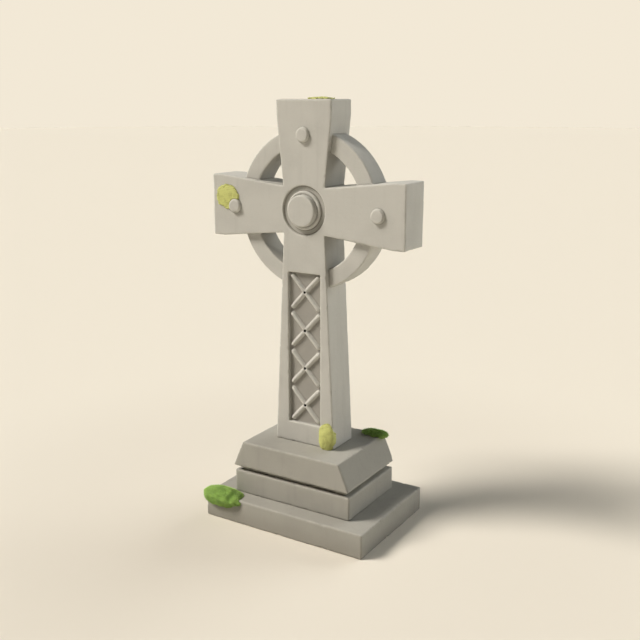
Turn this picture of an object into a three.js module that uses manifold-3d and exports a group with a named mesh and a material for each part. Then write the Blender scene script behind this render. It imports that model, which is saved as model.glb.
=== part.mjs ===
// Ringed cross memorial: a tapering stone cross with a ring through its arms, standing on a
// sloped block, a plinth block and a base slab. Moss and lichen grow on the stone.
// Millimetres, +Z up. The arms run along X, and the carved front faces -Y.
// The origin is the middle of the base slab's underside, where it meets the ground.

import * as THREE from 'three';
import { mergeVertices } from 'three/addons/utils/BufferGeometryUtils.js';
import Module from 'manifold-3d';

const wasm = await Module();
wasm.setup();

// Joints between stones, and between a growth and the stone under it
const bedGap = 0.3;

// Base slab
const slabWidth = 810;
const slabDepth = 563;
const slabHeight = 111;

// Plinth block
const plinthWidth = 596;
const plinthDepth = 400;
const plinthHeight = 107;

// Sloped block: upright front and back, ends that lean in, and a seat set back as a raked joint
const blockEndOverhang = 2.5;
const blockEndLean = 53;
const blockDepth = 420;
const blockHeight = 122;
const seatHeight = 22;
const seatInset = 28;
const blockFootWidth = plinthWidth + 2 * blockEndOverhang;
const blockTopWidth = blockFootWidth - 2 * blockEndLean;

// Cross: shaft, arms and top limb
const crossThickness = 164;
const shaftFootWidth = 302;
const shaftNeckWidth = 204;
const headAboveFoot = 1037;
const armSpan = 949;
const armNeckHeight = 198;
const armEndHeight = 268;
const armEndLength = 55;
const topNeckWidth = 205;
const topEndWidth = 267;
const topEndLength = 63;
const topReach = 453;

// Ring through the arms
const ringOuterRadius = 338.5;
const ringInnerRadius = 266.5;
const ringThickness = 116;
const ringRounding = 5;

// Rounded edges
const blockArris = 4.5;
const crossArris = 4;
const cornerSpread = 1.2;

// Sunk panel on the shaft, with crossed bars in its cells
const panelWidth = 161;
const panelHeight = 678;
const panelAboveFoot = 93;
const panelDepth = 18;
const latticeCells = 4;
const barRadius = 10;
const barRise = 14;
const barSideMargin = 6.5;
const barGap = 13.5;
const pitRadius = 5.5;
const pitDepth = 10;

// Roundel in the middle of the head: a sunk pocket, a roll moulding and a raised disc
const pocketRadius = 105.5;
const pocketFloorRadius = 103;
const pocketDepth = 10;
const rollRadius = 76;
const rollThickness = 13;
const rollProud = 1.5;
const discRadius = 66.5;
const discSideRise = 22.5;
const discFaceRadius = 62.5;
const discRise = 26;
const discRounding = 1.5;
const backDiscRise = 12;

// Flat-faced studs on the arms and the top limb
const studRadius = 30.5;
const studSideRise = 9;
const studFaceRadius = 26;
const studRise = 15;
const armStudFromEnd = 121.5;
const topStudFromEnd = 142;

// Moss over the front left corner of the base slab
const slabMossLength = 228;
const slabMossDepth = 116;
const slabMossThickness = 80;
const slabMossFromEnd = 86;
const slabMossFromFront = 26;
const slabMossBelowTop = 12;

// Moss over the back right corner of the sloped block
const blockMossLength = 132;
const blockMossDepth = 86;
const blockMossThickness = 34;
const blockMossFromEnd = 39;
const blockMossFromBack = 20;

// Lichen on the left arm's face
const armLichenWidth = 122;
const armLichenHeight = 106;
const armLichenThickness = 8;
const armLichenFromEnd = 80;
const armLichenAboveHead = 40;

// Lichen on top of the top limb
const topLichenWidth = 108;
const topLichenDepth = 100;
const topLichenThickness = 9;
const topLichenAcross = 44;
const topLichenForward = 15;

// Lichen round the front right edge of the shaft's foot
const footLichenWidth = 80;
const footLichenDepth = 50;
const footLichenHeight = 132;
const footLichenInFromEdge = 33;
const footLichenAboveFoot = 52;

// Fineness of the faceting
const arrisSteps = 2;
const ringSteps = 72;
const discSteps = 48;
const studSteps = 24;
const rollSteps = 8;
const growthSteps = 28;
const growthLumpiness = 0.05;

// Heights of the beds, from the ground up
const plinthBed = slabHeight + bedGap;
const blockBed = plinthBed + plinthHeight + bedGap;
const blockTop = blockBed + seatHeight + blockHeight;
const crossFoot = blockTop + bedGap;
const headCentre = crossFoot + headAboveFoot;
const faceY = -crossThickness / 2;
const panelBottom = crossFoot + panelAboveFoot;
const cellPitch = panelHeight / latticeCells;
const armStudX = armSpan / 2 - armStudFromEnd;
const topStudZ = headCentre + topReach - topStudFromEnd;

const materials = {
  baseStone: new THREE.MeshStandardMaterial({ color: 0x8d8779, roughness: 0.94, metalness: 0 }),
  crossStone: new THREE.MeshStandardMaterial({ color: 0xada797, roughness: 0.92, metalness: 0 }),
  moss: new THREE.MeshStandardMaterial({ color: 0x567f33, roughness: 1, metalness: 0 }),
  lichen: new THREE.MeshStandardMaterial({ color: 0xb0b04f, roughness: 1, metalness: 0 }),
};

// A closed outline through corners given as [x, y, radius]
function outline(corners) {
  const shape = new THREE.Shape();
  const cornerAt = (i) => {
    const [x, y] = corners[(i + corners.length) % corners.length];
    return new THREE.Vector2(x, y);
  };
  corners.forEach(([x, y, radius = 0], i) => {
    const corner = new THREE.Vector2(x, y);
    const back = cornerAt(i - 1).sub(corner);
    const on = cornerAt(i + 1).sub(corner);
    const reach = radius > 0 ? radius / Math.tan(back.angleTo(on) / 2) : 0;
    const start = back.setLength(reach).add(corner);
    const end = on.setLength(reach).add(corner);
    if (i === 0) shape.moveTo(start.x, start.y);
    else shape.lineTo(start.x, start.y);
    if (radius > 0) shape.quadraticCurveTo(x, y, end.x, end.y);
  });
  return shape;
}

function rectangle(width, height, rounding) {
  const [x, y] = [width / 2, height / 2];
  return outline([[-x, -y, rounding], [x, -y, rounding], [x, y, rounding], [-x, y, rounding]]);
}

// A shape made thick from z = 0 up, with both ends' edges rounded
function roundedExtrusion(shape, thickness, arris) {
  const geometry = new THREE.ExtrudeGeometry(shape, {
    depth: thickness - 2 * arris,
    bevelThickness: arris,
    bevelSize: arris,
    bevelOffset: -arris,
    bevelSegments: arrisSteps,
    curveSegments: arrisSteps,
  });
  return geometry.translate(0, 0, arris);
}

// A shape drawn in X and Z, made thick along Y and centred on it
function facedExtrusion(shape, thickness, arris) {
  return roundedExtrusion(shape, thickness, arris).translate(0, 0, -thickness / 2).rotateX(Math.PI / 2);
}

// A geometry as a closed body that can be cut and joined
function solid(geometry) {
  geometry.deleteAttribute('normal');
  geometry.deleteAttribute('uv');
  const merged = mergeVertices(geometry);
  const triangles = [];
  for (let i = 0; i < merged.index.count; i += 3) {
    const [a, b, c] = [0, 1, 2].map((k) => merged.index.getX(i + k));
    if (a !== b && b !== c && c !== a) triangles.push(a, b, c);
  }
  return new wasm.Manifold(new wasm.Mesh({
    numProp: 3,
    vertProperties: new Float32Array(merged.attributes.position.array),
    triVerts: new Uint32Array(triangles),
  }));
}

function join(bodies) {
  return bodies.reduce((whole, body) => whole.add(body));
}

// A body turned on an axis that points out of the cross's front, from a profile of [radius, height]
// corners; height 0 is the front face
function frontTurning(corners, steps) {
  const points = outline(corners).getPoints(arrisSteps);
  return new THREE.LatheGeometry(points, steps).rotateX(Math.PI).translate(0, faceY, 0);
}

// Stones. Each can be grown by a margin, to cut clearance into what lies against it.

function slabBody(grow = 0) {
  const shape = rectangle(slabWidth + 2 * grow, slabDepth + 2 * grow, blockArris * cornerSpread);
  return solid(roundedExtrusion(shape, slabHeight + 2 * grow, blockArris).translate(0, 0, -grow));
}

function plinthBody(grow = 0) {
  const shape = rectangle(plinthWidth + 2 * grow, plinthDepth + 2 * grow, blockArris * cornerSpread);
  return solid(roundedExtrusion(shape, plinthHeight + 2 * grow, blockArris).translate(0, 0, plinthBed - grow));
}

function blockBody(grow = 0) {
  const rounding = blockArris * cornerSpread;
  const foot = blockFootWidth / 2 + grow;
  const top = blockTopWidth / 2 + grow;
  const low = blockBed + seatHeight - grow;
  const high = blockTop + grow;
  const wedge = outline([
    [-foot, low, rounding],
    [foot, low, rounding],
    [top, high, rounding],
    [-top, high, rounding],
  ]);
  const body = facedExtrusion(wedge, blockDepth + 2 * grow, blockArris);
  const seatTop = blockBed + seatHeight + blockArris;
  const seat = new THREE.BoxGeometry(
    blockFootWidth - 2 * seatInset,
    blockDepth - 2 * seatInset,
    seatTop - blockBed,
  ).translate(0, 0, (seatTop + blockBed) / 2);
  return join([solid(body), solid(seat)]);
}

function crossLimbs(grow = 0) {
  const rounding = crossArris * cornerSpread;
  const foot = shaftFootWidth / 2 + grow;
  const neck = shaftNeckWidth / 2 + grow;
  const topNeck = topNeckWidth / 2 + grow;
  const topEnd = topEndWidth / 2 + grow;
  const armNeck = armNeckHeight / 2 + grow;
  const armEnd = armEndHeight / 2 + grow;
  const armFlareEnd = armSpan / 2 - armEndLength;
  const armTip = armSpan / 2 + grow;
  const topFlareEnd = headCentre + topReach - topEndLength;
  const topTip = headCentre + topReach + grow;
  const rightSide = [
    [foot, crossFoot - grow, rounding],
    [neck, headCentre - armNeck],
    [armFlareEnd, headCentre - armEnd],
    [armTip, headCentre - armEnd, rounding],
    [armTip, headCentre + armEnd, rounding],
    [armFlareEnd, headCentre + armEnd],
    [topNeck, headCentre + armNeck],
    [topEnd, topFlareEnd],
    [topEnd, topTip, rounding],
  ];
  const leftSide = rightSide.map(([x, z, round]) => [-x, z, round]).reverse();
  const shape = outline([...rightSide, ...leftSide]);
  return solid(facedExtrusion(shape, crossThickness + 2 * grow, crossArris));
}

function ring() {
  const [inner, outer, half] = [ringInnerRadius, ringOuterRadius, ringThickness / 2];
  const section = outline([
    [inner, -half, ringRounding],
    [outer, -half, ringRounding],
    [outer, half, ringRounding],
    [inner, half, ringRounding],
  ]).getPoints(arrisSteps);
  const geometry = new THREE.LatheGeometry([...section, section[0]], ringSteps);
  return solid(geometry.translate(0, 0, headCentre));
}

function stud(x, z, grow = 0) {
  const base = studRadius + grow;
  const face = studFaceRadius + grow;
  const profile = [
    [0, -crossArris],
    [base, -crossArris],
    [base, studSideRise + grow],
    [face, studRise + grow],
    [0, studRise + grow],
  ];
  return solid(frontTurning(profile, studSteps).translate(x, 0, z));
}

// The head's roundel: what is cut away, and what stands in the cut
function roundelPocket() {
  const wallLean = pocketRadius - pocketFloorRadius;
  const cut = [
    [0, -pocketDepth],
    [pocketFloorRadius, -pocketDepth],
    [pocketRadius + wallLean, pocketDepth],
    [0, pocketDepth],
  ];
  return solid(frontTurning(cut, discSteps).translate(0, 0, headCentre));
}

function roundel() {
  const root = -2 * pocketDepth;
  const disc = [
    [0, root],
    [discRadius, root],
    [discRadius, discSideRise, discRounding],
    [discFaceRadius, discRise, discRounding],
    [0, discRise],
  ];
  const roll = new THREE.TorusGeometry(rollRadius, rollThickness / 2, rollSteps, discSteps)
    .rotateX(Math.PI / 2)
    .translate(0, faceY + rollThickness / 2 - rollProud, headCentre);
  return join([solid(frontTurning(disc, discSteps).translate(0, 0, headCentre)), solid(roll)]);
}

function backDisc() {
  const disc = [
    [0, -pocketDepth],
    [discRadius, -pocketDepth],
    [discRadius, backDiscRise, discRounding],
    [0, backDiscRise],
  ];
  return solid(frontTurning(disc, discSteps).rotateZ(Math.PI).translate(0, 0, headCentre));
}

// The shaft's sunk panel, its crossed bars, and the pits where they cross
function panelPocket() {
  const depth = 2 * panelDepth;
  const box = new THREE.BoxGeometry(panelWidth, depth, panelHeight);
  return solid(box.translate(0, faceY + panelDepth - depth / 2, panelBottom + panelHeight / 2));
}

function cellCentres() {
  return Array.from({ length: latticeCells }, (_, i) => panelBottom + (i + 0.5) * cellPitch);
}

function crossedBars(centreZ) {
  const reachX = panelWidth / 2 - barSideMargin - barRadius;
  const reachZ = (cellPitch - barGap) / 2 - barRadius;
  const lean = Math.atan2(reachX, reachZ);
  const barY = faceY + panelDepth - barRise + barRadius;
  const bars = [lean, -lean].map((angle) => {
    const bar = new THREE.CapsuleGeometry(barRadius, 2 * Math.hypot(reachX, reachZ), arrisSteps, rollSteps);
    return solid(bar.rotateX(Math.PI / 2).rotateY(angle).translate(0, barY, centreZ));
  });
  return join(bars);
}

function pit(centreZ) {
  const barTop = faceY + panelDepth - barRise;
  const drill = new THREE.CylinderGeometry(pitRadius, pitRadius, 2 * pitDepth, rollSteps);
  return solid(drill.translate(0, barTop, centreZ));
}

function crossBody() {
  const studs = [stud(-armStudX, headCentre), stud(armStudX, headCentre), stud(0, topStudZ)];
  return join([crossLimbs(), ring()])
    .subtract(panelPocket())
    .subtract(roundelPocket())
    .add(join([roundel(), backDisc(), ...studs, ...cellCentres().map(crossedBars)]))
    .subtract(join(cellCentres().map(pit)));
}

// A lumpy cushion of moss or lichen, with the stone that it grows on cut out of it
function growth([width, depth, height], [x, y, z], stones) {
  const cushion = new THREE.SphereGeometry(1, growthSteps, growthSteps / 2);
  const point = new THREE.Vector3();
  const places = cushion.attributes.position;
  for (let i = 0; i < places.count; i += 1) {
    point.fromBufferAttribute(places, i);
    const broad = Math.sin(4 * point.x + 1) * Math.cos(5 * point.y - point.z);
    const fine = Math.sin(6 * point.z + 2 * point.x);
    point.multiplyScalar(1 + growthLumpiness * (broad + fine));
    places.setXYZ(i, point.x, point.y, point.z);
  }
  cushion.scale(width / 2, depth / 2, height / 2).translate(x, y, z);
  return solid(cushion).subtract(join(stones));
}

function slabMoss() {
  const x = -slabWidth / 2 + slabMossFromEnd;
  const y = -slabDepth / 2 + slabMossFromFront;
  const z = slabHeight - slabMossBelowTop;
  const stones = [slabBody(bedGap), plinthBody(bedGap)];
  return growth([slabMossLength, slabMossDepth, slabMossThickness], [x, y, z], stones);
}

function blockMoss() {
  const x = blockTopWidth / 2 - blockMossFromEnd;
  const y = blockDepth / 2 - blockMossFromBack;
  return growth([blockMossLength, blockMossDepth, blockMossThickness], [x, y, blockTop], [blockBody(bedGap)]);
}

function armLichen() {
  const x = -armSpan / 2 + armLichenFromEnd;
  const z = headCentre + armLichenAboveHead;
  const stones = [crossLimbs(bedGap), stud(-armStudX, headCentre, bedGap)];
  return growth([armLichenWidth, 2 * armLichenThickness, armLichenHeight], [x, faceY, z], stones);
}

function topLichen() {
  const place = [topLichenAcross, -topLichenForward, headCentre + topReach];
  return growth([topLichenWidth, topLichenDepth, 2 * topLichenThickness], place, [crossLimbs(bedGap)]);
}

function footLichen() {
  const x = shaftFootWidth / 2 - footLichenInFromEdge;
  const z = crossFoot + footLichenAboveFoot;
  const stones = [crossLimbs(bedGap), blockBody(bedGap)];
  return growth([footLichenWidth, footLichenDepth, footLichenHeight], [x, faceY, z], stones);
}

function mesh(name, body, material) {
  const { numProp, vertProperties, triVerts } = body.getMesh();
  const geometry = new THREE.BufferGeometry();
  geometry.setAttribute('position', new THREE.BufferAttribute(vertProperties, numProp));
  geometry.setIndex(new THREE.BufferAttribute(triVerts, 1));
  geometry.computeVertexNormals();
  const part = new THREE.Mesh(geometry, material);
  part.name = name;
  return part;
}

const memorial = new THREE.Group();
memorial.add(
  mesh('base_slab', slabBody(), materials.baseStone),
  mesh('plinth_block', plinthBody(), materials.baseStone),
  mesh('sloped_block', blockBody(), materials.baseStone),
  mesh('ringed_cross', crossBody(), materials.crossStone),
  mesh('moss_slab_corner', slabMoss(), materials.moss),
  mesh('moss_block_corner', blockMoss(), materials.moss),
  mesh('lichen_arm', armLichen(), materials.lichen),
  mesh('lichen_top', topLichen(), materials.lichen),
  mesh('lichen_shaft_foot', footLichen(), materials.lichen),
);

export default memorial;
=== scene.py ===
"""Ringed cross memorial: a weathered stone cross on a stepped base, with moss and lichen."""

import math

import bmesh
import bpy
import numpy as np
from bpy.props import FloatProperty, FloatVectorProperty, IntProperty, PointerProperty
from mathutils import Matrix, Vector


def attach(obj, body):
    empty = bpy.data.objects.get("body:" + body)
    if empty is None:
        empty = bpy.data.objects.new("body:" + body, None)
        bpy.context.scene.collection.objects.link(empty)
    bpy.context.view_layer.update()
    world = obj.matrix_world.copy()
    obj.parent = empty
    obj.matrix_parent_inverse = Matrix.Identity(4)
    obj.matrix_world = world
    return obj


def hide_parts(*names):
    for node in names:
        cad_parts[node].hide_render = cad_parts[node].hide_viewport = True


bl_info = {
    "name": "Ringed Cross Memorial",
    "version": (1, 0, 0),
    "blender": (4, 5, 0),
    "location": "3D View > Sidebar > Memorial",
    "description": "Weathered stone cross with a ring, on a stepped base, with moss and lichen",
    "category": "Add Mesh",
}

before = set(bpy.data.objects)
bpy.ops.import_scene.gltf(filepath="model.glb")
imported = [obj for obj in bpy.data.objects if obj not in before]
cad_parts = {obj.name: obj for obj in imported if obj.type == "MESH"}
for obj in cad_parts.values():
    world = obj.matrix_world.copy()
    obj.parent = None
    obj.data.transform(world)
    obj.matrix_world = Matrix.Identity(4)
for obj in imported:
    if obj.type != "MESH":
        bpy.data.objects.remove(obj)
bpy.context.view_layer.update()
BODY = "root"

# Metres
MILLIMETRE = 0.001
MERGE_DISTANCE = 0.01 * MILLIMETRE
PIT_REACH = 12 * MILLIMETRE
HEAD_CENTRE = 1.3999
RING_INSIDE = 0.27
ARM_NECK = 0.09
POCKET_RADIUS = 0.107
DOME_RADIUS = 60.0
DOME_SINK = 0.05 * DOME_RADIUS
FLOOR_RADIUS = 2 * DOME_RADIUS
NEAR_FLOOR = 1.0
FAR_FLOOR = 2.4
CAMERA_REACH = 200.0
LAMP_DISTANCE = 6.0

# Square metres: all pit floors together, against larger floors at other depths
PIT_FLOORS = 0.001

# Millimetres behind the cross's front face, where dirt begins and where it is full
PANEL_FLOOR = (11.0, 16.0)
POCKET_FLOOR = (3.0, 8.0)
DEEPEST_CARVING = 22.0

# Lengths of the waves that shape the wear, in metres
WEAR_WAVE = 0.11
CHIP_WAVE = 0.03
CHIPPED_STRETCH_WAVE = 0.2
UNDULATION_WAVE = 0.09
POCK_WAVE = 0.014
MOSS_WAVES = (0.035, 0.012)
LICHEN_WAVES = (0.009, 0.004)

# Shares of the clean stone's colour
SHADED_TONE = 0.78
PALE_TONE = 1.22

# Shares of darkening in the hollows, of painted shade near the ground and of painted shade inside the ring
# and in the roundel's pocket, and the height in metres up to which the painted ground shade reaches
HOLLOW_DARKENING = 0.4
GROUND_SHADE = 0.3
INNER_SHADE = 0.42
RING_SIDE_SHADE = 0.7
POCKET_SHADE = 0.75
GROUND_SHADE_HEIGHT = 0.1

# Azimuth, elevation and softness of the lights, in degrees
KEY_ANGLES = (-51.0, 47.0, 21.0)
FILL_ANGLES = (155.0, 9.0, 60.0)

CROSS = "ringed_cross"
BASE_STONES = ("base_slab", "plinth_block", "sloped_block")
MOSSES = ("moss_slab_corner", "moss_block_corner")
LICHENS = ("lichen_arm", "lichen_top", "lichen_shaft_foot")


def length(name, description, default):
    """A size in metres that a user can change."""
    return FloatProperty(name=name, description=description, default=default, min=0.0, unit="LENGTH")


def strength(name, description, default):
    """A light's strength that a user can change."""
    return FloatProperty(name=name, description=description, default=default, min=0.0)


def colour(name, description, default):
    """A linear colour that a user can change."""
    return FloatVectorProperty(
        name=name, description=description, default=default, subtype="COLOR", size=3, min=0.0, max=1.0
    )


class StoneSettings(bpy.types.PropertyGroup):
    """Sizes and colours of the dressed stone."""

    cross_detail: length("Cross detail", "Face size while the cross is worn", 2.5 * MILLIMETRE)
    base_detail: length("Base detail", "Face size while the base stones are worn", 3.6 * MILLIMETRE)
    arris_wear: length("Arris wear", "How far the sharp edges are worn back", 0.6 * MILLIMETRE)
    chip_depth: length("Chip depth", "How deep the chips along the edges are", 2.6 * MILLIMETRE)
    undulation: length("Undulation", "Height of the slow waves left by dressing", 0.5 * MILLIMETRE)
    pitting: length("Pitting", "Depth of the small weather pits", 0.35 * MILLIMETRE)
    most_faces: IntProperty(
        name="Most faces", description="Triangles that a finished stone may have", default=190000, min=1000
    )
    # Painted light: how much paler the upward faces are made, as if lit from above
    top_light: FloatProperty(
        name="Toplight", description="How much paler lamplight has washed the tops", default=0.1, min=0.0, max=1.0
    )
    cross_colour: colour("Cross stone", "Clean face of the cross", (0.546, 0.538, 0.502))
    base_colour: colour("Base stone", "Clean face of the base stones", (0.384, 0.374, 0.337))
    sunk_colour: colour("Sunk stone", "Floor of the sunk panel", (0.315, 0.3, 0.272))
    # Colour of the darkening in the hollows and of the painted shade near the ground, inside the ring and in
    # the roundel's pocket
    darkening_colour: colour("Darkening", "Dirt in the hollows", (0.14, 0.125, 0.095))
    # Near-black painted shade in the bored pits
    pit_shade_colour: colour("Pit", "Dark pits where the bars cross", (0.012, 0.011, 0.009))


class GrowthSettings(bpy.types.PropertyGroup):
    """Sizes and colours of moss and lichen."""

    moss_detail: length("Moss detail", "Face size of the moss cushions", 2.5 * MILLIMETRE)
    moss_lump: length("Moss lumps", "Height of the lumps on a moss cushion", 3.0 * MILLIMETRE)
    shoot_length: length("Shoot length", "Length of a moss shoot", 7.0 * MILLIMETRE)
    shoot_width: length("Shoot width", "Width of a moss shoot", 2.2 * MILLIMETRE)
    shoot_spacing: length("Shoot spacing", "Distance between moss shoots", 3.6 * MILLIMETRE)
    lichen_detail: length("Lichen detail", "Face size of the lichen crusts", 1.3 * MILLIMETRE)
    lobe_radius: length("Lobe radius", "Radius of a lichen lobe", 8.0 * MILLIMETRE)
    lobe_thickness: length("Lobe thickness", "Thickness of a lichen lobe", 3.6 * MILLIMETRE)
    moss_light: colour("Moss light", "Tips of the moss", (0.565, 0.8, 0.22))
    moss_dark: colour("Moss dark", "Depths of the moss", (0.204, 0.362, 0.085))
    lichen_light: colour("Lichen light", "Young lichen", (0.6, 0.62, 0.225))
    lichen_dark: colour("Lichen dark", "Old lichen", (0.42, 0.43, 0.15))


class StageSettings(bpy.types.PropertyGroup):
    """Camera, lights and floor."""

    camera_place: FloatVectorProperty(
        name="Camera place", description="Where the camera stands",
        default=(2.0154, -3.1986, 1.8519), subtype="TRANSLATION", size=3,
    )
    camera_azimuth: FloatProperty(
        name="Camera azimuth", description="Direction from which the camera looks",
        default=math.radians(31.82), subtype="ANGLE",
    )
    camera_elevation: FloatProperty(
        name="Camera elevation", description="How far the camera looks down",
        default=math.radians(13.95), subtype="ANGLE",
    )
    camera_lens: FloatProperty(name="Lens", description="Focal length in millimetres", default=50.0, min=1.0)
    key_strength: strength("Key light", "Strength of the key light", 3.57)
    fill_strength: strength("Fill light", "Strength of the fill light", 3.05)
    sky_strength: strength("Sky light", "Strength of the light all round", 0.02)
    key_colour: colour("Key colour", "Colour of the key light", (1.0, 0.94, 0.86))
    fill_colour: colour("Fill colour", "Colour of the fill light", (0.95, 0.965, 0.94))
    sky_colour: colour("Sky colour", "Colour of the light all round", (1.0, 0.96, 0.9))
    floor_colour: colour("Floor", "Colour of the floor by the memorial", (0.79, 0.747, 0.66))
    far_colour: colour("Far floor", "Colour of the floor away from the memorial", (0.843, 0.803, 0.711))
    backdrop_colour: colour("Backdrop", "Colour of the backdrop", (0.891, 0.812, 0.673))


# Shader maths

class Value:
    """A shader socket that takes Python's operators."""

    def __init__(self, shader, socket):
        self.shader = shader
        self.socket = socket

    def __add__(self, other):
        return self.shader.math("ADD", self, other)

    def __rsub__(self, other):
        return self.shader.math("SUBTRACT", other, self)

    def __mul__(self, other):
        return self.shader.math("MULTIPLY", self, other)

    __radd__ = __add__


class Shader:
    """One material's nodes, from its coordinates to its surface."""

    def __init__(self, name):
        self.material = bpy.data.materials.new(name)
        self.material.use_nodes = True
        self.tree = self.material.node_tree
        self.surface = self.tree.nodes["Principled BSDF"]
        self.place = self.add("ShaderNodeTexCoord", output="Object")

    def fill(self, socket, value):
        if isinstance(value, Value):
            self.tree.links.new(value.socket, socket)
        else:
            socket.default_value = value

    def add(self, kind, settings=(), inputs=(), output=0):
        """Adds a node: its settings, then the values or links of its sockets."""
        node = self.tree.nodes.new(kind)
        for name, value in dict(settings).items():
            setattr(node, name, value)
        for name, value in dict(inputs).items():
            self.fill(node.inputs[name], value)
        return Value(self, node.outputs[output])

    def math(self, operation, first, second):
        return self.add("ShaderNodeMath", {"operation": operation}, {0: first, 1: second})

    def span(self, value, low, high, start=0.0, end=1.0):
        """The value eased from start to end while it goes from low to high."""
        settings = {"interpolation_type": "SMOOTHSTEP"}
        inputs = {"Value": value, "From Min": low, "From Max": high, "To Min": start, "To Max": end}
        return self.add("ShaderNodeMapRange", settings, inputs)

    def stretched(self, scale):
        return self.add("ShaderNodeMapping", {}, {"Vector": self.place, "Scale": scale})

    def noise(self, scale, detail=3.0, roughness=0.5, place=None):
        inputs = {"Vector": place or self.place, "Scale": scale, "Detail": detail, "Roughness": roughness}
        return self.add("ShaderNodeTexNoise", {}, inputs)

    def cells(self, scale):
        return self.add("ShaderNodeTexVoronoi", {}, {"Vector": self.place, "Scale": scale})

    def attribute(self, name):
        return self.add("ShaderNodeAttribute", {"attribute_name": name}, output="Fac")

    def mix(self, factor, first, second):
        """Two colours mixed; a colour is a linear triple or a link."""
        node = self.tree.nodes.new("ShaderNodeMix")
        node.data_type = "RGBA"
        sockets = {socket.identifier: socket for socket in node.inputs}
        self.fill(sockets["Factor_Float"], factor)
        for identifier, shade in (("A_Color", first), ("B_Color", second)):
            self.fill(sockets[identifier], shade if isinstance(shade, Value) else (*shade, 1.0))
        results = {socket.identifier: socket for socket in node.outputs}
        return Value(self, results["Result_Color"])

    def bump(self, height, distance, amount):
        inputs = {"Height": height, "Distance": distance, "Strength": amount}
        return self.add("ShaderNodeBump", {}, inputs, "Normal")

    def finish(self, **values):
        """Sets the surface's sockets, named with underscores for spaces."""
        for name, value in values.items():
            self.fill(self.surface.inputs[name.replace("_", " ")], value)
        return self.material


def stone_finish(name, face, settings, grain=1.0):
    """Dressed, weathered stone: mottled faces, darker streaks, darker in the hollows, paler edges that are
    partly worn stone and partly painted highlight, paler tops as painted light from above, painted shade
    near the ground, inside the ring and in the roundel's pocket, and pits painted near-black as painted
    shade.
    """
    shader = Shader(name)
    patches = shader.noise(5.0, detail=4.0)
    blotches = shader.noise(38.0, detail=4.0, roughness=0.6)
    streaks = shader.noise(1.0, detail=3.0, place=shader.stretched((34.0, 34.0, 2.6)))
    speckle = shader.noise(420.0, detail=2.0, roughness=0.7)
    grit = shader.noise(900.0, detail=1.0)
    edge = shader.attribute("edge")
    hollow = shader.attribute("hollow")
    sunk = shader.attribute("sunk")
    pit = shader.attribute("pit")
    shade = tuple(SHADED_TONE * channel for channel in face)
    pale = tuple(PALE_TONE * channel for channel in face)
    shaded = shader.span(patches, 0.42, 0.68, 0.0, 0.3) + shader.span(streaks, 0.52, 0.75, 0.0, 0.22)
    # Upward faces made paler: painted light from above, not a colour of the stone
    top_lit = shader.mix(shader.attribute("lit") * settings.top_light, tuple(face), pale)
    clean = shader.mix(shaded, top_lit, shade)
    flecked = shader.mix(shader.span(speckle, 0.55, 0.75, 0.0, 0.35), clean, pale)
    spotted = shader.mix(shader.span(blotches, 0.6, 0.8, 0.0, 0.3), flecked, shade)
    panelled = shader.mix(sunk * 0.85, spotted, tuple(settings.sunk_colour))
    # Paler along the convex edges: partly stone worn pale, partly painted highlight on the arrises
    worn = shader.mix(edge * shader.span(blotches, 0.3, 0.65, 0.1, 0.6), panelled, pale)
    height = shader.add("ShaderNodeSeparateXYZ", {}, {"Vector": shader.place}, "Z")
    # Darker in the hollows and inner corners, less so on the sunk panel's floor
    corners = shader.span(hollow, 0.3, 1.0, 0.0, HOLLOW_DARKENING) * (1.0 - sunk * 0.7)
    # Darker towards the ground: painted shade
    ground = shader.span(height, 0.0, GROUND_SHADE_HEIGHT, GROUND_SHADE, 0.0)
    # Painted shade on the sides inside the ring and on the floor of the roundel's pocket
    inner_shade = shader.attribute("inner_shade") * INNER_SHADE
    darkened = shader.mix(corners + ground + inner_shade, worn, tuple(settings.darkening_colour))
    # Pits painted near-black: painted shade in the bored holes
    drilled = shader.mix(pit, darkened, tuple(settings.pit_shade_colour))
    pocks = shader.span(shader.cells(210.0), 0.0, 0.35)
    relief = speckle * 0.5 + grit * 0.25 + pocks * 0.35 + blotches * 0.6
    return shader.finish(
        Base_Color=drilled,
        Roughness=0.86 + blotches * 0.14,
        Specular_IOR_Level=0.25,
        Normal=shader.bump(relief, 0.8 * MILLIMETRE * grain, 0.55),
    )


def moss_finish(settings):
    """Moss: dark between the shoots, bright at their tips."""
    shader = Shader("moss")
    tip = shader.attribute("tip")
    patches = shader.noise(28.0, detail=3.0)
    fine = shader.noise(300.0, detail=2.0)
    light = shader.span(patches, 0.3, 0.7, 0.35, 1.0) * (tip * 0.5 + 0.5)
    green = shader.mix(light, tuple(settings.moss_dark), tuple(settings.moss_light))
    return shader.finish(
        Base_Color=green,
        Roughness=0.85 + fine * 0.15,
        Specular_IOR_Level=0.2,
        Sheen_Weight=0.25,
        Normal=shader.bump(fine, 0.6 * MILLIMETRE, 0.6),
    )


def lichen_finish(settings):
    """Lichen: a granular yellow crust, olive where it is old and between its lobes."""
    shader = Shader("lichen")
    hollow = shader.attribute("hollow")
    patches = shader.noise(40.0, detail=4.0)
    granules = shader.cells(380.0)
    old = shader.span(patches, 0.45, 0.7, 0.0, 0.55) + shader.span(hollow, 0.1, 0.9, 0.0, 0.6)
    crust = shader.mix(old, tuple(settings.lichen_light), tuple(settings.lichen_dark))
    return shader.finish(
        Base_Color=crust,
        Roughness=0.9,
        Specular_IOR_Level=0.2,
        Normal=shader.bump(granules, 0.9 * MILLIMETRE, 0.7),
    )


# Meshes

def mesh_of(shape, name):
    """A new mesh with a bmesh's shape, which is used up."""
    mesh = bpy.data.meshes.new(name)
    shape.to_mesh(mesh)
    shape.free()
    return mesh


def new_piece(name, mesh):
    piece = bpy.data.objects.new(name, mesh)
    bpy.context.scene.collection.objects.link(piece)
    return piece


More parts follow.
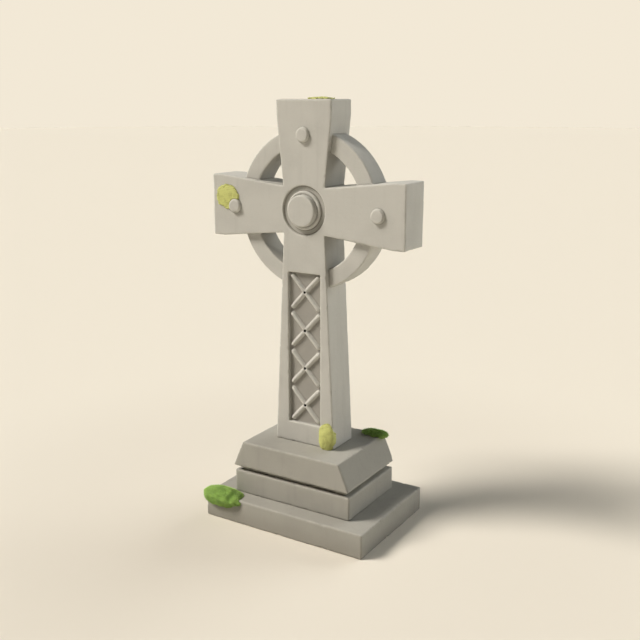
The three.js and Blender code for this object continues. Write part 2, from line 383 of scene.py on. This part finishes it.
def copy_of_node(node, name):
    """A new object with a CAD node's mesh, its loose triangles merged."""
    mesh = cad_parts[node].data.copy()
    mesh.materials.clear()
    shape = bmesh.new()
    shape.from_mesh(mesh)
    bmesh.ops.remove_doubles(shape, verts=shape.verts, dist=MERGE_DISTANCE)
    shape.to_mesh(mesh)
    shape.free()
    return new_piece(name, mesh)


def settle(piece):
    """Makes a piece's modifiers part of its mesh."""
    graph = bpy.context.evaluated_depsgraph_get()
    old = piece.data
    settled = bpy.data.meshes.new_from_object(piece.evaluated_get(graph))
    piece.modifiers.clear()
    piece.data = settled
    bpy.data.meshes.remove(old)


def even_faces(piece, size, rounds):
    """Gives a piece even faces of one size, and softens its edges a little."""
    remesh = piece.modifiers.new("even faces", "REMESH")
    remesh.mode = "VOXEL"
    remesh.voxel_size = size
    smooth = piece.modifiers.new("soften", "SMOOTH")
    smooth.factor = 0.5
    smooth.iterations = rounds
    settle(piece)


def fewer_faces(piece, most):
    """Thins a mesh where it is flattest, down to a number of triangles."""
    triangles = sum(len(face.vertices) - 2 for face in piece.data.polygons)
    if triangles > most:
        thin = piece.modifiers.new("thin", "DECIMATE")
        thin.ratio = most / triangles
        settle(piece)


class Surface:
    """A mesh's points, normals and edges as arrays."""

    def __init__(self, mesh):
        self.mesh = mesh
        count = len(mesh.vertices)
        self.points = np.empty(3 * count)
        self.normals = np.empty(3 * count)
        self.edges = np.empty(2 * len(mesh.edges), np.int64)
        mesh.vertices.foreach_get("co", self.points)
        mesh.vertices.foreach_get("normal", self.normals)
        mesh.edges.foreach_get("vertices", self.edges)
        self.points = self.points.reshape(-1, 3)
        self.normals = self.normals.reshape(-1, 3)
        self.edges = self.edges.reshape(-1, 2)

    def relaxed(self, values, rounds):
        """Values averaged with those of their neighbours, a number of times."""
        first, second = self.edges.T
        count = len(self.points)
        neighbours = np.bincount(first, minlength=count) + np.bincount(second, minlength=count)
        for _ in range(rounds):
            total = [
                np.bincount(first, column[second], count) + np.bincount(second, column[first], count)
                for column in values.T
            ]
            values = (values + np.stack(total, 1)) / (1 + neighbours)[:, None]
        return values

    def bend(self, rounds):
        """How far each point stands out of its surroundings, in metres; less than 0 in hollows."""
        return ((self.points - self.relaxed(self.points, rounds)) * self.normals).sum(1)

    def push(self, distance):
        self.points = self.points + self.normals * distance[:, None]

    def write(self):
        self.mesh.vertices.foreach_set("co", self.points.ravel())
        self.mesh.update()

    def store(self, name, values):
        attribute = self.mesh.attributes.new(name, "FLOAT", "POINT")
        attribute.data.foreach_set("value", np.clip(values, 0.0, 1.0))


def rolling(points, wavelength, seed, waves=14):
    """A smooth random field over points, mostly between -1 and 1, from sine waves of one length."""
    source = np.random.default_rng(seed)
    directions = source.normal(size=(waves, 3))
    directions *= 2 * math.pi / wavelength / np.linalg.norm(directions, axis=1)[:, None]
    phases = source.uniform(0, 2 * math.pi, waves)
    return np.sin(points @ directions.T + phases).sum(1) / math.sqrt(waves)


def eased(values, low, high):
    """0 below low, 1 above high, and smooth between."""
    share = np.clip((values - low) / (high - low), 0.0, 1.0)
    return share * share * (3 - 2 * share)


def forward_faces(node):
    """A CAD node's flat faces that look forward, by their depth in whole millimetres."""
    levels = {}
    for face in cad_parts[node].data.polygons:
        if face.normal.y < -0.999:
            levels.setdefault(round(face.center.y / MILLIMETRE), []).append(face)
    return levels


def front_level(node):
    """The depth of the largest flat face that looks forward."""
    levels = forward_faces(node)
    return max(levels, key=lambda level: sum(face.area for face in levels[level]))


def bored_pits(node):
    """The middle and radius of each small pit bored into the front, from their flat floors."""
    front = front_level(node)
    floors = []
    for level, faces in forward_faces(node).items():
        if front < level < 0 and sum(face.area for face in faces) < PIT_FLOORS:
            floors.extend(faces)
    pits = []
    for face in sorted(floors, key=lambda floor: floor.center.z):
        if pits and (face.center - pits[-1][0].center).length < PIT_REACH:
            pits[-1].append(face)
        else:
            pits.append([face])
    found = []
    for faces in pits:
        area = sum(face.area for face in faces)
        middle = sum((face.center * face.area for face in faces), Vector()) / area
        found.append((middle, math.sqrt(area / math.pi)))
    return found


def in_pits(node, points):
    """1 for points in the bored pits, and 0 elsewhere."""
    inside = np.zeros(len(points))
    for middle, radius in bored_pits(node):
        across = np.hypot(points[:, 0] - middle.x, points[:, 2] - middle.z)
        near = np.abs(points[:, 1] - middle.y) < PIT_REACH
        inside = np.maximum(inside, near * (1 - eased(across, 0.9 * radius, 1.2 * radius)))
    return inside


def mark_carving(node, surface, points):
    """Marks the sunk panel's floor and the pits, and marks for painted shade the roundel's pocket and the
    sides inside the ring.
    """
    forward = -surface.normals[:, 1]
    depth = points[:, 1] / MILLIMETRE - front_level(node)
    carved = depth < DEEPEST_CARVING
    surface.store("sunk", eased(depth, *PANEL_FLOOR) * carved * eased(forward, 0.6, 0.9))
    surface.store("pit", in_pits(node, points))
    from_head = np.hypot(points[:, 0], points[:, 2] - HEAD_CENTRE)
    in_ring = (from_head > ARM_NECK) * (1 - eased(from_head, RING_INSIDE, 1.04 * RING_INSIDE))
    sides = in_ring * (1 - eased(np.abs(forward), 0.3, 0.8))
    pocket = (from_head < POCKET_RADIUS) * eased(depth, *POCKET_FLOOR) * carved
    # The sides inside the ring and the roundel's pocket are marked for painted shade
    surface.store("inner_shade", np.maximum(RING_SIDE_SHADE * sides, POCKET_SHADE * pocket))


def weathered_stone(node, name, detail, settings, seed):
    """A copy of a stone with worn edges, chips, slow undulation and small pits."""
    piece = copy_of_node(node, name)
    even_faces(piece, detail, 1)
    surface = Surface(piece.data)
    bend = surface.bend(8)
    edge = eased(bend, 0.15 * MILLIMETRE, 1.1 * MILLIMETRE)
    hollow = eased(-bend, 0.12 * MILLIMETRE, 1.0 * MILLIMETRE)
    points = surface.points
    wear = edge * settings.arris_wear * (0.55 + 0.45 * rolling(points, WEAR_WAVE, seed))
    chipped = rolling(points, CHIP_WAVE, seed + 1) + 0.5 * rolling(points, CHIPPED_STRETCH_WAVE, seed + 2)
    chips = edge * settings.chip_depth * eased(chipped, 1.1, 2.0)
    waves = settings.undulation * rolling(points, UNDULATION_WAVE, seed + 3)
    pocks = settings.pitting * eased(rolling(points, POCK_WAVE, seed + 4), 0.7, 1.9)
    surface.push(0.5 * waves - wear - chips - pocks)
    surface.write()
    surface.store("edge", edge)
    surface.store("hollow", hollow)
    # Upward faces marked for the painted light from above that pales the tops
    surface.store("lit", eased(surface.normals[:, 2], 0.5, 0.95))
    if node == CROSS:
        mark_carving(node, surface, points)
    fewer_faces(piece, settings.most_faces)
    piece.data.shade_smooth()
    return piece


def ground_points(surface, spacing, seed):
    """Points about a spacing apart on a surface, with their normals."""
    source = np.random.default_rng(seed)
    taken = set()
    chosen = []
    for i in source.permutation(len(surface.points)):
        cell = tuple(np.floor(surface.points[i] / spacing).astype(int))
        if cell not in taken:
            taken.add(cell)
            chosen.append(i)
    return [(Vector(surface.points[i]), Vector(surface.normals[i])) for i in chosen]


def facing_frame(place, normal, turn):
    """A place with its Z along a normal, turned about it."""
    facing = normal.to_track_quat("Z", "Y").to_matrix().to_4x4()
    return Matrix.Translation(place) @ facing @ Matrix.Rotation(turn, 4, "Z")


def add_copy(shape, mesh, matrix):
    """Adds a copy of a small mesh to a bmesh, and returns its points."""
    copy = mesh.copy()
    copy.transform(matrix)
    start = len(shape.verts)
    shape.from_mesh(copy)
    bpy.data.meshes.remove(copy)
    shape.verts.ensure_lookup_table()
    return shape.verts[start:]


def moss_shoot(settings):
    """One moss shoot: a slim bud with its widest point a third of the way up."""
    shape = bmesh.new()
    width, height = settings.shoot_width / 2, settings.shoot_length
    widest = 0.35 * height
    made = bmesh.ops.create_cone(
        shape, segments=5, radius1=0.6 * width, radius2=width, depth=widest, cap_ends=False
    )
    bmesh.ops.translate(shape, verts=made["verts"], vec=(0, 0, widest / 2))
    top = [edge for edge in shape.edges if edge.is_boundary and edge.verts[0].co.z > widest / 2]
    raised = bmesh.ops.extrude_edge_only(shape, edges=top)["geom"]
    tips = [item for item in raised if isinstance(item, bmesh.types.BMVert)]
    bmesh.ops.translate(shape, verts=tips, vec=(0, 0, height - widest))
    bmesh.ops.pointmerge(shape, verts=tips, merge_co=(0, 0, height))
    bmesh.ops.holes_fill(shape, edges=[edge for edge in shape.edges if edge.is_boundary])
    bmesh.ops.recalc_face_normals(shape, faces=shape.faces)
    return mesh_of(shape, "shoot")


def mossy_cushion(node, name, settings, seed):
    """A moss cushion covered with short shoots."""
    piece = copy_of_node(node, name)
    even_faces(piece, settings.moss_detail, 3)
    surface = Surface(piece.data)
    source = np.random.default_rng(seed)
    broad, fine = (rolling(surface.points, wave, seed + i) for i, wave in enumerate(MOSS_WAVES))
    surface.push(settings.moss_lump * (0.5 * (broad + 0.5 * fine) - 0.6))
    surface.write()
    surface = Surface(piece.data)
    shoot = moss_shoot(settings)
    shape = bmesh.new()
    shape.from_mesh(piece.data)
    tip = shape.verts.layers.float.new("tip")
    for vert in shape.verts:
        vert[tip] = 0.25
    for place, normal in ground_points(surface, settings.shoot_spacing, seed + 2):
        lean = Vector(source.normal(0, 0.35, 3)) + Vector((0, 0, 0.35))
        size = source.uniform(0.6, 1.15)
        at = facing_frame(place, (normal + lean).normalized(), source.uniform(0, 2 * math.pi))
        for vert in add_copy(shape, shoot, at @ Matrix.Diagonal((size, size, size, 1))):
            vert[tip] = min(1.0, (vert.co - place).length / (settings.shoot_length * size))
    shape.to_mesh(piece.data)
    shape.free()
    bpy.data.meshes.remove(shoot)
    piece.data.shade_smooth()
    return piece


def lichen_lobe():
    """One lobe of lichen, of radius 1, to be flattened."""
    shape = bmesh.new()
    bmesh.ops.create_icosphere(shape, subdivisions=2, radius=1.0)
    return mesh_of(shape, "lobe")


def lichen_crust(node, name, settings, seed):
    """A crust of overlapping lobes that follows a lichen node's surface."""
    piece = copy_of_node(node, name)
    even_faces(piece, 2 * settings.lichen_detail, 2)
    surface = Surface(piece.data)
    source = np.random.default_rng(seed)
    lobe = lichen_lobe()
    shape = bmesh.new()
    shape.from_mesh(piece.data)
    for place, normal in ground_points(surface, settings.lobe_radius * 0.9, seed):
        size = source.uniform(0.55, 1.15)
        radius, thickness = settings.lobe_radius * size, settings.lobe_thickness * size / 2
        stretch = Matrix.Diagonal((radius, radius * source.uniform(0.7, 1.0), thickness, 1))
        at = facing_frame(place - normal * thickness * 0.6, normal, source.uniform(0, 2 * math.pi))
        add_copy(shape, lobe, at @ stretch)
    shape.to_mesh(piece.data)
    shape.free()
    bpy.data.meshes.remove(lobe)
    even_faces(piece, settings.lichen_detail, 1)
    surface = Surface(piece.data)
    broad, fine = (rolling(surface.points, wave, seed + i) for i, wave in enumerate(LICHEN_WAVES, start=1))
    surface.push(0.5 * MILLIMETRE * (0.6 * broad + 0.4 * fine))
    surface.write()
    surface.store("hollow", eased(-surface.bend(6), 0.05 * MILLIMETRE, 0.5 * MILLIMETRE))
    piece.data.shade_smooth()
    return piece


def place_piece(piece, node, material):
    """Gives a piece its material, and puts it in the place of a CAD node."""
    piece.data.materials.clear()
    piece.data.materials.append(material)
    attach(piece, BODY)
    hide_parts(node)


# Operators

class MEMORIAL_OT_base_stones(bpy.types.Operator):
    """Make the base slab, the plinth block and the sloped block"""

    bl_idname = "memorial.base_stones"
    bl_label = "Base stones"

    def execute(self, context):
        settings = context.scene.memorial_stone
        material = stone_finish("base_stone", settings.base_colour, settings, grain=1.2)
        for seed, node in enumerate(BASE_STONES, start=10):
            piece = weathered_stone(node, f"{node}_weathered", settings.base_detail, settings, 10 * seed)
            place_piece(piece, node, material)
        return {"FINISHED"}


class MEMORIAL_OT_ringed_cross(bpy.types.Operator):
    """Make the ringed cross with its carving"""

    bl_idname = "memorial.ringed_cross"
    bl_label = "Ringed cross"

    def execute(self, context):
        settings = context.scene.memorial_stone
        material = stone_finish("cross_stone", settings.cross_colour, settings)
        piece = weathered_stone(CROSS, f"{CROSS}_weathered", settings.cross_detail, settings, 7)
        place_piece(piece, CROSS, material)
        return {"FINISHED"}


class MEMORIAL_OT_moss(bpy.types.Operator):
    """Grow the moss cushions on the base stones"""

    bl_idname = "memorial.moss"
    bl_label = "Moss"

    def execute(self, context):
        settings = context.scene.memorial_growth
        material = moss_finish(settings)
        for seed, node in enumerate(MOSSES, start=40):
            piece = mossy_cushion(node, f"{node}_shoots", settings, 10 * seed)
            place_piece(piece, node, material)
        return {"FINISHED"}


class MEMORIAL_OT_lichen(bpy.types.Operator):
    """Grow the lichen crusts on the cross"""

    bl_idname = "memorial.lichen"
    bl_label = "Lichen"

    def execute(self, context):
        settings = context.scene.memorial_growth
        material = lichen_finish(settings)
        for seed, node in enumerate(LICHENS, start=60):
            piece = lichen_crust(node, f"{node}_crust", settings, 10 * seed)
            place_piece(piece, node, material)
        return {"FINISHED"}


def direction(azimuth, elevation):
    """A unit vector from an azimuth that is 0 towards -Y and grows towards +X, and an elevation."""
    return Vector((
        math.sin(azimuth) * math.cos(elevation),
        -math.cos(azimuth) * math.cos(elevation),
        math.sin(elevation),
    ))


def sun(name, angles, power, tint):
    """A distant light from an azimuth and an elevation, with a softness, all in degrees."""
    azimuth, elevation, softness = angles
    lamp = bpy.data.lights.new(name, "SUN")
    lamp.energy = power
    lamp.color = tint
    lamp.angle = math.radians(softness)
    light = bpy.data.objects.new(name, lamp)
    bpy.context.scene.collection.objects.link(light)
    towards = direction(math.radians(azimuth), math.radians(elevation))
    light.rotation_mode = "QUATERNION"
    light.rotation_quaternion = towards.to_track_quat("Z", "Y")
    light.location = LAMP_DISTANCE * towards


def photo_camera(settings):
    """The camera at the photograph's place, level from side to side."""
    camera = bpy.data.objects.new("camera", bpy.data.cameras.new("camera"))
    bpy.context.scene.collection.objects.link(camera)
    camera.data.lens = settings.camera_lens
    camera.data.clip_end = CAMERA_REACH
    camera.location = settings.camera_place
    camera.rotation_mode = "QUATERNION"
    back = direction(settings.camera_azimuth, settings.camera_elevation)
    camera.rotation_quaternion = back.to_track_quat("Z", "Y")
    bpy.context.scene.camera = camera


def plain_floor(settings):
    """A wide floor that cuts through a pale dome, which only the camera sees."""
    shape = bmesh.new()
    bmesh.ops.create_circle(shape, cap_ends=True, segments=64, radius=FLOOR_RADIUS)
    floor = new_piece("floor", mesh_of(shape, "floor"))
    matte = Shader("floor")
    away = matte.add("ShaderNodeVectorMath", {"operation": "LENGTH"}, {0: matte.place}, "Value")
    share = matte.span(away, NEAR_FLOOR, FAR_FLOOR)
    tint = matte.mix(share, tuple(settings.floor_colour), tuple(settings.far_colour))
    floor.data.materials.append(matte.finish(Base_Color=tint, Roughness=1.0, Specular_IOR_Level=0.0))
    shape = bmesh.new()
    bmesh.ops.create_uvsphere(shape, u_segments=48, v_segments=24, radius=DOME_RADIUS)
    bmesh.ops.reverse_faces(shape, faces=shape.faces)
    bmesh.ops.translate(shape, verts=shape.verts, vec=(0, 0, -DOME_SINK))
    backdrop = new_piece("backdrop", mesh_of(shape, "backdrop"))
    glow = Shader("backdrop")
    backdrop.data.materials.append(glow.finish(
        Base_Color=(0.0, 0.0, 0.0, 1.0),
        Specular_IOR_Level=0.0,
        Emission_Color=(*settings.backdrop_colour, 1.0),
        Emission_Strength=1.0,
    ))
    backdrop.visible_diffuse = False
    backdrop.visible_glossy = False
    backdrop.visible_shadow = False


class MEMORIAL_OT_stage(bpy.types.Operator):
    """Make the camera, the lights, the floor and the backdrop"""

    bl_idname = "memorial.stage"
    bl_label = "Stage"

    def execute(self, context):
        settings = context.scene.memorial_stage
        photo_camera(settings)
        sun("key", KEY_ANGLES, settings.key_strength, settings.key_colour)
        sun("fill", FILL_ANGLES, settings.fill_strength, settings.fill_colour)
        plain_floor(settings)
        world = bpy.data.worlds.new("sky")
        world.use_nodes = True
        background = world.node_tree.nodes["Background"]
        background.inputs["Color"].default_value = (*settings.sky_colour, 1.0)
        background.inputs["Strength"].default_value = settings.sky_strength
        context.scene.world = world
        context.scene.view_settings.view_transform = "Standard"
        return {"FINISHED"}


class MEMORIAL_PT_pieces(bpy.types.Panel):
    """Lists the memorial's pieces"""

    bl_idname = "MEMORIAL_PT_pieces"
    bl_label = "Ringed Cross Memorial"
    bl_space_type = "VIEW_3D"
    bl_region_type = "UI"
    bl_category = "Memorial"

    def draw(self, context):
        for operator in OPERATORS:
            self.layout.operator(operator.bl_idname)


GROUPS = {
    "memorial_stone": StoneSettings,
    "memorial_growth": GrowthSettings,
    "memorial_stage": StageSettings,
}
OPERATORS = (
    MEMORIAL_OT_stage,
    MEMORIAL_OT_base_stones,
    MEMORIAL_OT_ringed_cross,
    MEMORIAL_OT_moss,
    MEMORIAL_OT_lichen,
)
CLASSES = (*GROUPS.values(), *OPERATORS, MEMORIAL_PT_pieces)


def register():
    for item in CLASSES:
        bpy.utils.register_class(item)
    for name, group in GROUPS.items():
        setattr(bpy.types.Scene, name, PointerProperty(type=group))


def unregister():
    for name in GROUPS:
        delattr(bpy.types.Scene, name)
    for item in reversed(CLASSES):
        bpy.utils.unregister_class(item)


def main():
    register()
    bpy.ops.memorial.stage()
    bpy.ops.memorial.base_stones()
    bpy.ops.memorial.ringed_cross()
    bpy.ops.memorial.moss()
    bpy.ops.memorial.lichen()


if __name__ == "__main__":
    main()
